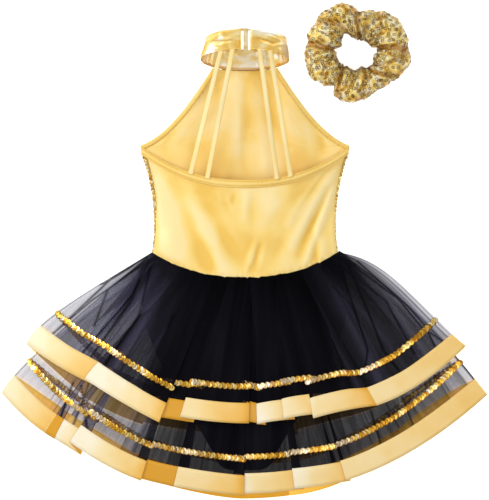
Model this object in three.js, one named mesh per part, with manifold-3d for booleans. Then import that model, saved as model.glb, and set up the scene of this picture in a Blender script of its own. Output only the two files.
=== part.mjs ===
// A girl's halter-neck dance dress with a two-tier tulle skirt, and the scrunchie that goes with it.
// Both lie on a flat surface with the dress's back upward.
// Millimetres, +X to the right, +Y towards the collar, +Z up. The origin is on the surface that they
// lie on, under the middle of the back waist seam.

import * as THREE from "three";
import { mergeVertices } from "three/addons/utils/BufferGeometryUtils.js";
import Module from "manifold-3d";

// Cloth
const CLOTH = 0.8; // one layer of cloth
const LAYER_GAP = 0.35; // between layers that lie on each other
const SEAM_GAP = 0.3; // between pieces sewn edge to edge

// Bodice
const WAIST_HALF = 116; // half the flat width at the waist
const WAIST_RISE = 31; // the ends of the waist seam lie this far above its middle
const FRONT_DROP = 5; // the front waist seam dips this far below the back one
const SIDE_TUCK = 10; // how far the side seams curve in above the waist
const CHEST_HALF = 131; // half the flat width under the arms
const CHEST_Y = 164; // the underarm points above the waist
const SCOOP_DEPTH = 43; // the back neckline dips this far below the underarm points
const HALTER_HALF = 40; // half the front's width where it meets the collar
const HALTER_Y = 258; // the front's top edge above the waist
const BODICE_PUFF = 20; // how far the back stands off the front
const BODICE_SETTLE = 70; // the back comes down from the skirt's top over this length
const NECK_BINDING = 9.5; // width of the back neckline binding
const ARM_BINDING = 6; // width of an armhole binding
const BINDING_CLOTH = 1.5; // thickness of the folded back neckline binding

// Collar
const COLLAR_HALF = 54.5; // half the ring's width
const COLLAR_DEPTH = 22; // half the ring's depth, front to back
const COLLAR_BAND = 31; // height of the band
const COLLAR_CLOTH = 1.6; // the folded band is two layers thick
const COLLAR_TILT = THREE.MathUtils.degToRad(36); // the ring leans over backwards by this much
const COLLAR_TAIL = 9; // length of the band's ends folded back inside

// Clasp
const CLASP_X = 1; // the clasp's middle
const CLASP_REACH = 8.5; // from its middle to the bar in each end of the band
const CLASP_BAR = 1.1; // half the thickness of a bar
const CLASP_RAIL = 1.3; // thickness of the rails beyond the band's edges
const CLASP_PLATE = 6.1; // width of the plate that covers the hooked bar
const CLASP_PLAY = 0.4; // running clearance of a bar in its fold
const CLASP_SHEET = 1.4; // thickness of the hook's plate
const CLASP_LIP = 1.2; // thickness of the hook's lip
const CLASP_LIP_PLAY = 0.6; // between the lip and the loop
const CLASP_INNER_BAR = 0.8; // half the thickness of the bar that is hooked

// Straps
const STRAP_WIDTH = 6;
const STRAP_CLOTH = 1.2;
const STRAP_SAG = 4; // how far a strap hangs below the straight line
const STRAP_TOPS = [-30, -15.5, 18.3, 31.5]; // X along the collar's back edge
const STRAP_FEET = [-68, -47, 40, 57]; // X along the back neckline

// Skirt
const SKIRT_POLE = 116; // the skirt fans out from this far above the waist
const SKIRT_SPREAD = THREE.MathUtils.degToRad(56); // half the fan's angle
const SKIRT_PUFF = 28; // how far the back of the skirt stands off its front
const PUFF_LEAST = 4; // the least of it, along the skirt's middle
const PUFF_START = 60; // distances from the pole between which it swells
const PUFF_LENGTH = 380;
const UPPER_HEM = { half: 276, tip: -86, middle: -182, bulge: 14 };
const LOWER_HEM = { half: 304, tip: -147, middle: -274, bulge: 9 };
const RIBBON_WIDTH = 25.5;
const TRIM_WIDTH = 6.5;
const TRIM_HEIGHT = 48; // the trim's middle above the hem's edge
const LINING_LENGTH = 241; // the lining's hem below the waist
const LINING_HEM_HALF = 33;
const LINING_CLEAR = 3; // the lining is this much narrower than the tulle at the waist
const LINING_HIP = 164; // the curve of its sides bulges towards this half width
const LINING_TAPER = 76; // and then narrows towards this one
const ELASTIC_WIDTH = 10;

// Scrunchie
const SCRUNCHIE_X = 141;
const SCRUNCHIE_Y = 281;
const SCRUNCHIE_RADIUS = 47; // of the tube's middle
const SCRUNCHIE_TUBE = 20.5; // radius of the tube
const SCRUNCHIE_SQUASH = 0.94; // its depth over its width
const SCRUNCHIE_SEAM = 3; // width of the open seam along the inside
const SCRUNCHIE_ELASTIC = 8; // width of the elastic inside

// Order of the skirt's layers, from the surface up, counted in layers of cloth. Each lower sequin trim
// lies beyond the upper tier's hem, in the same layer as the upper tier. The curved layers of the back
// stand half a layer further from each other than the flat ones of the front.
const LAYERS = {
  upper_sequin_trim_front: 0,
  upper_tulle_front: 1,
  lower_sequin_trim_front: 1,
  lower_tulle_front: 2,
  skirt_lining_front: 3,
  elastic_front: 4,
  elastic_back: 5,
  skirt_lining_back: 6,
  lower_tulle_back: 7.5,
  lower_sequin_trim_back: 9,
  upper_tulle_back: 9,
  upper_sequin_trim_back: 10.5,
};
const level = (name) => LAYERS[name] * (CLOTH + LAYER_GAP);

const { lerp, smoothstep } = THREE.MathUtils;
const finish = (color, roughness, metalness = 0) =>
  new THREE.MeshStandardMaterial({ color, roughness, metalness });
const SATIN = finish(0xfcd97a, 0.45);
const SEQUINS = finish(0xd9a02b, 0.35, 0.7);
const FOIL = finish(0xf0b84a, 0.25, 0.8);
const METAL = finish(0xf2e3b8, 0.25, 0.9);
const TULLE = finish(0x3a383f, 0.8);
const LINING = finish(0x0a090f, 0.7);
const RIBBON = finish(0xf8d889, 0.4);
const ELASTIC = finish(0x151418, 0.9);

const group = new THREE.Group();
group.name = "dance_dress";

function add(name, geometry, material, parent = group) {
  const mesh = new THREE.Mesh(geometry, material);
  mesh.name = name;
  parent.add(mesh);
  return mesh;
}

// Moves every point of a geometry to where bend(x, y, z) says.
function bent(geometry, bend) {
  const position = geometry.attributes.position;
  for (let i = 0; i < position.count; i += 1) {
    const point = bend(position.getX(i), position.getY(i), position.getZ(i));
    position.setXYZ(i, ...point);
  }
  geometry.computeVertexNormals();
  return geometry;
}

// A sheet of cloth. place(u, v, w) gives its points: u from -1 to 1 across, v from 0 to 1 along and
// w from 0 to 1 through its thickness. Its underside is cut into triangles along the same diagonals as
// its top, so that sheets lying on each other stay parallel.
function sheet(across, along, place) {
  const slab = new THREE.BoxGeometry(2, 1, 1, across, along, 1);
  const corners = slab.index.array;
  const under = slab.groups[5];
  for (let i = under.start; i < under.start + under.count; i += 6) {
    const [a, b, d, , c] = corners.slice(i, i + 5);
    corners.set([a, b, c, a, c, d], i);
  }
  return bent(slab, (x, y, z) => place(x, y + 0.5, z + 0.5));
}

// The collar is made upright in its own frame: X to the right, Y up the neck and Z to the back of the
// neck. The frame leans over, so that the lower edge of the ring's back faces up.

const collar = new THREE.Group();
const leanY = Math.sin(COLLAR_TILT);
const leanZ = Math.cos(COLLAR_TILT);
collar.rotation.x = -COLLAR_TILT;
collar.position.y = HALTER_Y + COLLAR_DEPTH * leanY + (COLLAR_BAND / 2) * leanZ;
collar.position.z = (COLLAR_DEPTH + COLLAR_CLOTH / 2) * leanZ + (COLLAR_BAND / 2) * leanY;
collar.updateMatrixWorld(true);
group.add(collar);

const collarBow = (x) => COLLAR_DEPTH * Math.sqrt(Math.max(0, 1 - (x / COLLAR_HALF) ** 2));

// Where cloth sewn to the collar's lower edge ends. toBack is 1 on the back of the neck and -1 in front.
function rim(x, toBack) {
  const point = new THREE.Vector3(x, -COLLAR_BAND / 2, toBack * collarBow(x));
  point.applyMatrix4(collar.matrixWorld);
  point.y -= SEAM_GAP + (COLLAR_CLOTH / 2) * leanY;
  return point;
}

// Outline of the bodice. u runs from -1 at the left side seam to 1 at the right one.

const waistY = (u) => WAIST_RISE * Math.abs(u) ** 2.4;
const frontWaistY = (u) => waistY(u) - FRONT_DROP * (1 - u * u);
const neckY = (x) => CHEST_Y - SCOOP_DEPTH * (1 - Math.abs(x / CHEST_HALF) ** 2.3);

// Half the bodice's width at a height up the side seam.
function sideX(y) {
  const k = (y - WAIST_RISE) / (CHEST_Y - WAIST_RISE);
  return WAIST_HALF * (1 - k) ** 2 + 2 * (WAIST_HALF - SIDE_TUCK) * k * (1 - k) + CHEST_HALF * k * k;
}

// The right armhole, from the underarm point to the collar.
const halterTop = rim(HALTER_HALF, -1);
const armhole = new THREE.CubicBezierCurve(
  new THREE.Vector2(CHEST_HALF, CHEST_Y),
  new THREE.Vector2(lerp(HALTER_HALF, CHEST_HALF, 0.64), lerp(CHEST_Y, halterTop.y, 0.12)),
  new THREE.Vector2(lerp(HALTER_HALF, CHEST_HALF, 0.33), lerp(CHEST_Y, halterTop.y, 0.52)),
  new THREE.Vector2(HALTER_HALF, halterTop.y),
);

// A point of the armhole's edge, moved inwards by a distance.
function armholePoint(t, distance) {
  const along = armhole.getTangent(t);
  return armhole.getPoint(t).add(new THREE.Vector2(-along.y, along.x).multiplyScalar(distance));
}

// Heights. The front lies flat below the underarm points, and rises from there to the collar.

// Height of the front's underside. rise is 0 at the underarm points and 1 at the collar.
function frontHeight(x, rise) {
  const edge = THREE.MathUtils.clamp(x, -HALTER_HALF, HALTER_HALF);
  return (rim(edge, -1).z - CLOTH - LAYER_GAP / 2) * rise ** 2;
}

// How far the skirt's back stands off its front.
function skirtPuff(x, y) {
  const radius = Math.hypot(x, SKIRT_POLE - y);
  const angle = Math.atan2(Math.abs(x), SKIRT_POLE - y) / SKIRT_SPREAD;
  const swell = Math.sin(Math.PI * THREE.MathUtils.clamp((radius - PUFF_START) / PUFF_LENGTH, 0, 1));
  return (PUFF_LEAST + SKIRT_PUFF * swell) * Math.max(0, 1 - angle ** 2);
}

// Height of the underside of the bodice's back, which meets the skirt at the waist.
function backHeight(u, x, y) {
  const overFront = 2 * (CLOTH + LAYER_GAP) + BODICE_PUFF * (1 - u * u);
  const atWaist = level("upper_tulle_back") + skirtPuff(x, waistY(u));
  return lerp(atWaist, overFront, smoothstep(y - waistY(u), 0, BODICE_SETTLE));
}

// The front and its lining. Their rows run from the waist up the side seam, then up the armhole, inside
// its binding, in the same steps as the binding.
const SIDE_ROWS = 5;
const ARM_ROWS = 7;
function addFront(name, material, from) {
  const corner = armholePoint(0, ARM_BINDING + SEAM_GAP);
  const place = (u, v, w) => {
    const row = v * (SIDE_ROWS + ARM_ROWS) - SIDE_ROWS;
    if (row < -0.01) {
      const share = 1 + row / SIDE_ROWS;
      const y = lerp(frontWaistY(u), corner.y, share);
      return [u * sideX(lerp(WAIST_RISE, corner.y, share)), y, from + CLOTH * w];
    }
    const rise = row / ARM_ROWS;
    const edge = armholePoint(rise, ARM_BINDING + SEAM_GAP);
    const x = u * edge.x;
    const across = lerp(lerp(corner.y, HALTER_Y, rise), edge.y, u * u);
    const y = lerp(across, rim(x, -1).y, rise ** 4 * (1 - u ** 6));
    return [x, y, frontHeight(x, rise) + from + CLOTH * w];
  };
  add(name, sheet(10, SIDE_ROWS + ARM_ROWS, place), material);
}
addFront("front_bodice", SEQUINS, 0);
addFront("front_lining", SATIN, CLOTH + LAYER_GAP);

// Each armhole binding wraps the edge of both layers.
for (const [name, hand] of [["left", -1], ["right", 1]]) {
  const place = (u, v, w) => {
    const distance = ARM_BINDING * (1 + hand * -u) * 0.5;
    const point = armholePoint(v, distance);
    return [hand * point.x, point.y, frontHeight(point.x, v) + (2 * CLOTH + LAYER_GAP) * w];
  };
  add(`armhole_binding_${name}`, sheet(1, ARM_ROWS, place), SATIN);
}

// The back, from the waist seam to the binding of its scooped neckline.
const NECK_STEPS = 16;
const backTopY = (x) => neckY(x) - NECK_BINDING - SEAM_GAP;
const backSideTop = backTopY(CHEST_HALF);
const backPoint = (u, v, w) => {
  const x = u * sideX(lerp(WAIST_RISE, backSideTop, v));
  const y = lerp(waistY(u), backTopY(u * sideX(backSideTop)), v);
  return [x, y, backHeight(u, x, y) + CLOTH * w];
};
add("back_bodice", sheet(NECK_STEPS, 6, backPoint), SATIN);

const neckBindingPoint = (u, v, w) => {
  const x = u * CHEST_HALF;
  const y = neckY(x) - NECK_BINDING * (1 - v);
  return [x, y, backHeight(u, x, y) + BINDING_CLOTH * w];
};
add("back_neckline_binding", sheet(NECK_STEPS, 1, neckBindingPoint), SATIN);

// Straps, from the back neckline up to the lower edge of the collar's back.
STRAP_TOPS.forEach((topX, i) => {
  const place = (u, v, w) => {
    const top = rim(topX + (u * STRAP_WIDTH) / 2, 1);
    const footX = STRAP_FEET[i] + (u * STRAP_WIDTH) / 2;
    const footY = neckY(footX) + SEAM_GAP;
    const under = backHeight(footX / CHEST_HALF, footX, footY);
    const foot = new THREE.Vector3(footX, footY, under + BINDING_CLOTH / 2);
    const point = foot.lerp(top, v);
    point.z += (w - 0.5) * STRAP_CLOTH - STRAP_SAG * Math.sin(Math.PI * v);
    return point.toArray();
  };
  add(`back_strap_${i + 1}`, sheet(1, 10, place), SATIN);
});

// The collar band is one strip. Each of its ends goes round a bar of the clasp and back inside.

const FOLD = CLASP_BAR + CLASP_PLAY + COLLAR_CLOTH / 2; // from a bar's axis to the middle of the band
const hookBar = new THREE.Vector2(CLASP_X - CLASP_REACH, collarBow(CLASP_X - CLASP_REACH) - FOLD);
const loopBar = new THREE.Vector2(CLASP_X + CLASP_REACH, collarBow(CLASP_X + CLASP_REACH) - FOLD);

// The fold round a bar, from the tail's end inside the ring to the top of the bar. hand is 1 where the
// fold bulges to the right.
function foldPath(bar, hand) {
  const path = [];
  for (const share of [1, 0.5]) {
    const x = bar.x - hand * COLLAR_TAIL * share;
    path.push(new THREE.Vector2(x, collarBow(x) - 2 * FOLD));
  }
  for (let i = 0; i <= 6; i += 1) {
    const angle = -Math.PI / 2 + (Math.PI * i) / 6;
    path.push(new THREE.Vector2(hand * Math.cos(angle), Math.sin(angle)).multiplyScalar(FOLD).add(bar));
  }
  return path;
}

function bandPath() {
  const path = foldPath(hookBar, 1);
  const start = Math.asin(-hookBar.x / COLLAR_HALF);
  const end = 2 * Math.PI - Math.asin(loopBar.x / COLLAR_HALF);
  const steps = 36;
  for (let i = 1; i < steps; i += 1) {
    const angle = lerp(start, end, i / steps);
    path.push(new THREE.Vector2(-COLLAR_HALF * Math.sin(angle), COLLAR_DEPTH * Math.cos(angle)));
  }
  return [...path, ...foldPath(loopBar, -1).reverse()];
}

// The outline of a strip of the given thickness along a path.
function stripOutline(path, thickness) {
  const edge = (hand) =>
    path.map((point, i) => {
      const along = path[Math.min(i + 1, path.length - 1)].clone().sub(path[Math.max(i - 1, 0)]).normalize();
      return new THREE.Vector2(-along.y, along.x).multiplyScalar((hand * thickness) / 2).add(point);
    });
  return new THREE.Shape([...edge(1), ...edge(-1).reverse()]);
}

const band = new THREE.ExtrudeGeometry(stripOutline(bandPath(), COLLAR_CLOTH), {
  depth: COLLAR_BAND,
  bevelEnabled: false,
});
band.rotateX(Math.PI / 2).translate(0, COLLAR_BAND / 2, 0);
add("collar_band", band, FOIL, collar);

// The clasp. Each half is a frame whose outer bar lies in the fold at one end of the band, with rails
// that pass the band's edges. The hook's plate covers the loop's inner bar, and its lip drops behind it.

const wasm = await Module();
wasm.setup();

function solidOf(geometry) {
  const bare = geometry.clone();
  bare.deleteAttribute("normal");
  bare.deleteAttribute("uv");
  const merged = mergeVertices(bare, 1e-4);
  const vertProperties = merged.attributes.position.array;
  const triVerts = new Uint32Array(merged.index.array);
  return new wasm.Manifold(new wasm.Mesh({ numProp: 3, vertProperties, triVerts }));
}

function joined(geometries) {
  const whole = geometries.map(solidOf).reduce((a, b) => a.add(b));
  const { vertProperties, triVerts } = whole.getMesh();
  const geometry = new THREE.BufferGeometry();
  geometry.setAttribute("position", new THREE.BufferAttribute(vertProperties, 3));
  geometry.setIndex(new THREE.BufferAttribute(triVerts, 1));
  geometry.computeVertexNormals();
  return geometry;
}

function block(x0, x1, y0, y1, z0, z1) {
  const box = new THREE.BoxGeometry(x1 - x0, y1 - y0, z1 - z0);
  return box.translate((x0 + x1) / 2, (y0 + y1) / 2, (z0 + z1) / 2);
}

const railInside = COLLAR_BAND / 2 + SEAM_GAP;
const railOutside = railInside + CLASP_RAIL;

// The two rails of a frame, between x0 and x1 and between z0 and z1.
const rails = (x0, x1, z0, z1) => [
  block(x0, x1, railInside, railOutside, z0, z1),
  block(x0, x1, -railOutside, -railInside, z0, z1),
];
const bar = (x, z, radius) =>
  new THREE.CylinderGeometry(radius, radius, 2 * railInside + CLASP_RAIL, 12).translate(x, 0, z);

const plateLeft = CLASP_X - CLASP_PLATE / 2;
const plateRight = CLASP_X + CLASP_PLATE / 2;
const hookedX = plateRight - CLASP_LIP - CLASP_LIP_PLAY - CLASP_INNER_BAR;
const plateUnder = Math.max(hookBar.y, loopBar.y) + CLASP_INNER_BAR + SEAM_GAP;
const plateOver = plateUnder + CLASP_SHEET;
const lipEnd = railInside - CLASP_LIP_PLAY;

const hook = joined([
  bar(hookBar.x, hookBar.y, CLASP_BAR),
  ...rails(hookBar.x - CLASP_BAR, plateLeft + 1, hookBar.y - CLASP_BAR, plateOver),
  block(plateLeft, plateRight, -railOutside, railOutside, plateUnder, plateOver),
  block(plateRight - CLASP_LIP, plateRight, -lipEnd, lipEnd, loopBar.y - CLASP_INNER_BAR / 2, plateOver),
]);
add("clasp_hook", hook, METAL, collar);

const loop = joined([
  bar(loopBar.x, loopBar.y, CLASP_BAR),
  bar(hookedX, loopBar.y, CLASP_INNER_BAR),
  ...rails(hookedX, loopBar.x, loopBar.y - CLASP_INNER_BAR, loopBar.y + CLASP_INNER_BAR),
]);
add("clasp_loop", loop, METAL, collar);

// The skirt. Each tier fans out from the waist seam to its hem, along rays on which u is the same.

const hemPoint = (hem, u) => {
  const y = lerp(hem.middle, hem.tip, Math.abs(u) ** 2.2);
  return new THREE.Vector2(u * hem.half, y);
};

// A point of a tier, up the ray from its hem's edge. up is a distance, or a share of the ray below 0.
function tierPoint(hem, isBack, u, up) {
  const waist = new THREE.Vector2(u * WAIST_HALF, (isBack ? waistY(u) : frontWaistY(u)) - SEAM_GAP);
  const foot = hemPoint(hem, u);
  const share = Math.min(1, up / foot.distanceTo(waist));
  const point = foot.lerp(waist, share);
  point.y += hem.bulge * Math.sin(Math.PI * share) * u ** 4;
  return point;
}

// One layer of a tier between two distances above its hem.
function addTierLayer(name, hem, material, [across, along], [low, high]) {
  const isBack = name.endsWith("_back");
  const place = (u, v, w) => {
    const { x, y } = tierPoint(hem, isBack, u, lerp(low, high(u), v));
    return [x, y, level(layerOf(name)) + (isBack ? skirtPuff(x, y) : 0) + CLOTH * w];
  };
  add(name, sheet(across, along, place), material);
}

// A ribbon lies in the same layer as the tulle that it hems, and is cut into as many steps.
const layerOf = (name) => name.replace("ribbon", "tulle");
const HEM_STEPS = 18;
const TIER_ROWS = { lower: 9, upper: 6 };

// The lining's right side, from its hem to the waist.
const liningRow = (share) => lerp(-LINING_LENGTH, WAIST_RISE, share);
const liningSide = new THREE.CubicBezierCurve(
  new THREE.Vector2(LINING_HEM_HALF, liningRow(0)),
  new THREE.Vector2(LINING_TAPER, liningRow(1 / 3)),
  new THREE.Vector2(LINING_HIP, liningRow(2 / 3)),
  new THREE.Vector2(WAIST_HALF - LINING_CLEAR, liningRow(1)),
);

for (const face of ["front", "back"]) {
  for (const [tier, hem] of [["lower", LOWER_HEM], ["upper", UPPER_HEM]]) {
    const isBack = face === "back";
    const rayLength = (u) => hemPoint(hem, u).distanceTo(tierPoint(hem, isBack, u, Infinity));
    const toWaist = [RIBBON_WIDTH + SEAM_GAP, rayLength];
    const toRibbonTop = [0, () => RIBBON_WIDTH];
    const trim = [TRIM_HEIGHT - TRIM_WIDTH / 2, () => TRIM_HEIGHT + TRIM_WIDTH / 2];
    addTierLayer(`${tier}_tulle_${face}`, hem, TULLE, [HEM_STEPS, TIER_ROWS[tier]], toWaist);
    addTierLayer(`${tier}_ribbon_${face}`, hem, RIBBON, [HEM_STEPS, 1], toRibbonTop);
    addTierLayer(`${tier}_sequin_trim_${face}`, hem, SEQUINS, [HEM_STEPS, 1], trim);
  }

  const name = `skirt_lining_${face}`;
  const isBack = face === "back";
  const top = isBack ? waistY : frontWaistY;
  const place = (u, v, w) => {
    const x = u * liningSide.getPoint(v).x;
    const y = lerp(-LINING_LENGTH, top(u) - SEAM_GAP, v);
    return [x, y, level(name) + (isBack ? skirtPuff(x, y) : 0) + CLOTH * w];
  };
  add(name, sheet(12, 8, place), LINING);
}

// A ring of square section. bend(turn, across, along) gives its points: turn is the angle round it,
// across is -1 inside and 1 outside, and along runs from 0 to 1 over its width.
function ring(segments, bend) {
  const profile = [[9, 0], [11, 0], [11, 1], [9, 1], [9, 0]].map(([r, y]) => new THREE.Vector2(r, y));
  const lathe = new THREE.LatheGeometry(profile, segments);
  return bent(lathe, (x, y, z) => bend(Math.atan2(x, z), Math.hypot(x, z) - 10, y));
}

// The waist elastic, a ring pressed flat inside the top of the skirt.
const elasticLow = level("elastic_front") + CLOTH / 2;
const elasticHigh = level("elastic_back") + CLOTH / 2;
const elasticPoint = (turn, across, along) => {
  const up = THREE.MathUtils.clamp(4 * Math.cos(turn), -1, 1);
  const out = Math.sqrt(1 - up * up) * Math.sign(Math.sin(turn));
  const u = 0.96 * Math.sin(turn);
  const x = (WAIST_HALF - LINING_CLEAR) * u + (out * across * CLOTH) / 2;
  const y = lerp(waistY(u), frontWaistY(u), (1 - up) / 2) - SEAM_GAP - ELASTIC_WIDTH * (1 - along);
  const z = lerp(elasticLow, elasticHigh, (1 + up) / 2) + (up * across * CLOTH) / 2;
  return [x, y, z + (skirtPuff(x, y) * (1 + up)) / 2];
};
add("waist_elastic", ring(36, elasticPoint), ELASTIC);

// The scrunchie: a gathered tube of cloth, open along the seam that faces its hole, over an elastic.

const coverProfile = [];
const seamAngle = SCRUNCHIE_SEAM / 2 / SCRUNCHIE_TUBE;
const coverSteps = 12;
const coverWall = (radius, i) => {
  const angle = lerp(seamAngle, 2 * Math.PI - seamAngle, i / coverSteps);
  const r = SCRUNCHIE_RADIUS - radius * Math.cos(angle);
  return new THREE.Vector2(r, -radius * Math.sin(angle));
};
for (let i = 0; i <= coverSteps; i += 1) coverProfile.push(coverWall(SCRUNCHIE_TUBE, i));
for (let i = coverSteps; i >= 0; i -= 1) coverProfile.push(coverWall(SCRUNCHIE_TUBE - CLOTH, i));
coverProfile.push(coverProfile[0].clone());

const scrunchie = new THREE.Group();
scrunchie.position.set(SCRUNCHIE_X, SCRUNCHIE_Y, SCRUNCHIE_TUBE);
scrunchie.scale.y = SCRUNCHIE_SQUASH;
group.add(scrunchie);

const cover = new THREE.LatheGeometry(coverProfile, 28).rotateX(Math.PI / 2);
add("scrunchie_cover", cover, SEQUINS, scrunchie);

const insideWall = Math.sqrt((SCRUNCHIE_TUBE - CLOTH) ** 2 - (SCRUNCHIE_ELASTIC / 2) ** 2);
const bandInside = SCRUNCHIE_RADIUS - insideWall + 2 * SEAM_GAP;
const elasticBand = (turn, across, along) => {
  const r = bandInside + (CLOTH * (across + 1)) / 2;
  return [r * Math.sin(turn), SCRUNCHIE_ELASTIC * (along - 0.5), r * Math.cos(turn)];
};
add("scrunchie_elastic", ring(28, elasticBand).rotateX(Math.PI / 2), ELASTIC, scrunchie);

export default group;
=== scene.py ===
"""A girl's halter-neck dance dress with a two-tier tulle skirt, and its scrunchie, laid out with the back up.

Lengths are in millimetres until built() turns them into metres. Only the table and the lamps have theirs
in metres from the start.
+X is to the right, +Y runs from the waist to the collar and +Z is up.
"""
import bisect
import random
from math import asin, atan2, copysign, cos, degrees, exp, hypot, pi, radians, sin, sqrt

import bpy
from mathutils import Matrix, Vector, noise


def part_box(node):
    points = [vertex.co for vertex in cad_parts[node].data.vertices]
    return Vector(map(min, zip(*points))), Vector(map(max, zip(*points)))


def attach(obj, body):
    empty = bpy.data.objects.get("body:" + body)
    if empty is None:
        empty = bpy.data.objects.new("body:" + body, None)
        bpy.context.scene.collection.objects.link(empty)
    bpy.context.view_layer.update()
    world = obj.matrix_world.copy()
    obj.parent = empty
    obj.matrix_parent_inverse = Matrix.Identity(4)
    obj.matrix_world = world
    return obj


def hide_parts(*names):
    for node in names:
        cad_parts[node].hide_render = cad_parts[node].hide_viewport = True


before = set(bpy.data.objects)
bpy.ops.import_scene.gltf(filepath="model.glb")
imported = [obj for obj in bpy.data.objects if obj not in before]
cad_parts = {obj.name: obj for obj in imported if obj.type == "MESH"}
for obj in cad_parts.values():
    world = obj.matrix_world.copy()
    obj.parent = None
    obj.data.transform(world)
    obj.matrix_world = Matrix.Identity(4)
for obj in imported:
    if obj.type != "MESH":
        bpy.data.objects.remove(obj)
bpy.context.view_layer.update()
MM = 0.001


# ---- The table, the lights and the camera
# The dress lies on a white table in a pale room. A window lights it from the upper left and a large soft
# lamp from overhead, and the camera hangs straight above it.

VIEW_CENTRE = (-0.6, 33.75)
VIEW_HIGH = 625  # how much of the table the camera takes in, from its lower to its upper edge
VIEW_FROM = 12000
SENSOR = 36
TABLE_SIZE = 60
TABLE_BELOW = 0.0006


def colour(code):
    """The colour that a six-figure code stands for, as a node's socket takes it."""
    parts = [int(code[i : i + 2], 16) / 255 for i in (0, 2, 4)]
    return [c / 12.92 if c <= 0.04045 else ((c + 0.055) / 1.055) ** 2.4 for c in parts] + [1]


def node(tree, kind, inputs=None, **settings):
    """A shader node with its settings, and its inputs set to values or joined to other nodes."""
    made = tree.nodes.new("ShaderNode" + kind)
    for key, value in settings.items():
        setattr(made, key, value)
    for key, value in (inputs or {}).items():
        if isinstance(value, bpy.types.NodeSocket):
            tree.links.new(value, made.inputs[key])
        else:
            made.inputs[key].default_value = value
    return made


def ramp(tree, fac, *stops):
    """A colour ramp over fac; each stop is (position, colour code)."""
    made = node(tree, "ValToRGB", {"Fac": fac})
    elements = made.color_ramp.elements
    while len(elements) < len(stops):
        elements.new(0.5)
    for element, (position, code) in zip(elements, stops):
        element.position = position
        element.color = colour(code)
    return made.outputs["Color"]


class Finish:
    """A material in the making, with short ways to add the nodes that feed its shader."""

    def __init__(self, name, **sockets):
        self.material = bpy.data.materials.new(name)
        self.material.use_nodes = True
        self.tree = self.material.node_tree
        self.shader = self.tree.nodes["Principled BSDF"]
        for key, value in sockets.items():
            self.shader.inputs[key.replace("_", " ")].default_value = value

    def uv(self):
        return node(self.tree, "UVMap").outputs[0]

    def mark(self, name):
        """A shade that lies on the mesh under this name."""
        return node(self.tree, "Attribute", attribute_name=name).outputs["Fac"]

    def noise(self, place, scale, detail, **more):
        inputs = {"Vector": place, "Scale": scale, "Detail": detail, **more}
        return node(self.tree, "TexNoise", inputs).outputs["Fac"]

    def stretched(self, place, *scale):
        return node(self.tree, "Mapping", {"Vector": place, "Scale": scale}).outputs[0]

    def spread(self, value, *ends):
        """Carries value from between the first two ends to between the last two."""
        return node(self.tree, "MapRange", {0: value, **dict(enumerate(ends, 1))}).outputs[0]

    def math(self, operation, *values, **settings):
        return node(self.tree, "Math", dict(enumerate(values)), operation=operation, **settings).outputs[0]

    def ramp(self, fac, *stops):
        return ramp(self.tree, fac, *stops)

    def mix(self, fac, under, over, how="MIX"):
        inputs = {0: fac, 6: under, 7: over}
        return node(self.tree, "Mix", inputs, data_type="RGBA", blend_type=how).outputs[2]

    def feed(self, value, *sockets):
        for socket in sockets:
            self.tree.links.new(value, self.shader.inputs[socket])

    def bump(self, height, strength, distance):
        inputs = {"Height": height, "Strength": strength, "Distance": distance}
        self.feed(node(self.tree, "Bump", inputs).outputs[0], "Normal")


def in_scene(name, data):
    made = bpy.data.objects.new(name, data)
    bpy.context.scene.collection.objects.link(made)
    return made


def table_top():
    white = colour("FFFFFF")
    top = Finish("white_table", Roughness=0.9, Base_Color=white, Emission_Color=white, Emission_Strength=0.68)
    bpy.ops.mesh.primitive_plane_add(size=TABLE_SIZE, location=(0, 0, -TABLE_BELOW))
    table = bpy.context.object
    table.name = "table"
    table.data.materials.append(top.material)


def lamp(name, size, power, place):
    """A round lamp that is turned towards the dress."""
    data = bpy.data.lights.new(name, "AREA")
    data.shape = "DISK"
    data.size, data.energy = size, power
    made = in_scene(name, data)
    made.location = place
    made.rotation_euler = (-Vector(place)).to_track_quat("-Z", "Y").to_euler()


def surroundings():
    """A pale room: bright overhead and greyer towards the horizon, for the foil and sequins to mirror."""
    world = bpy.data.worlds.new("pale_room")
    world.use_nodes = True
    tree = world.node_tree
    up = node(tree, "SeparateXYZ", {0: node(tree, "TexCoord").outputs["Generated"]}).outputs["Z"]
    shade = ramp(tree, up, (0.0, "E4E0D8"), (0.2, "C4BCAE"), (0.4, "E8E4DC"), (0.7, "FFFFFF"))
    background = tree.nodes["Background"]
    tree.links.new(shade, background.inputs["Color"])
    background.inputs["Strength"].default_value = 0.55
    bpy.context.scene.world = world


table_top()
lamp("window", 0.8, 19, (-1.5, 0.9, 1.1))
lamp("overhead", 2.0, 18, (0.5, -0.3, 2.4))
surroundings()

camera = in_scene("camera", bpy.data.cameras.new("camera"))
camera.location = (VIEW_CENTRE[0] * MM, VIEW_CENTRE[1] * MM, VIEW_FROM * MM)
camera.data.sensor_width = SENSOR
camera.data.lens = SENSOR * VIEW_FROM / VIEW_HIGH
camera.data.clip_end = 50
bpy.context.scene.camera = camera
bpy.context.scene.view_settings.view_transform = "Standard"
bpy.context.scene.cycles.transparent_max_bounces = 32


# ---- The sequined front
# The front is one layer of gold knit covered in 3.5 mm cup sequins. It faces the table here, and its
# side edges roll round to the back, where a sliver of sequins shows beside each side seam.

CHEST_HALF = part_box("back_neckline_binding")[1].x / MM
CHEST_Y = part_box("back_neckline_binding")[1].y / MM
HALTER_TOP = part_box("front_bodice")[1].y / MM
WAIST_HALF, WAIST_RISE = 116, 31
FRONT_DROP = 5
SIDE_TUCK = 10
HALTER_HALF = 40
ARM_BINDING = 6
ROLL = {-1: 2.7, 1: 1.8}  # radius of the rolled edge on the left and on the right
COLLAR_HALF, COLLAR_DEPTH, COLLAR_BAND = 54.5, 22, 31
COLLAR_TILT = radians(36)
COLLAR_Y, COLLAR_Z = 283.47, 27.56


def lerp(a, b, share):
    return a + (b - a) * share


def clamp(share):
    return min(1, max(0, share))


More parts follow.
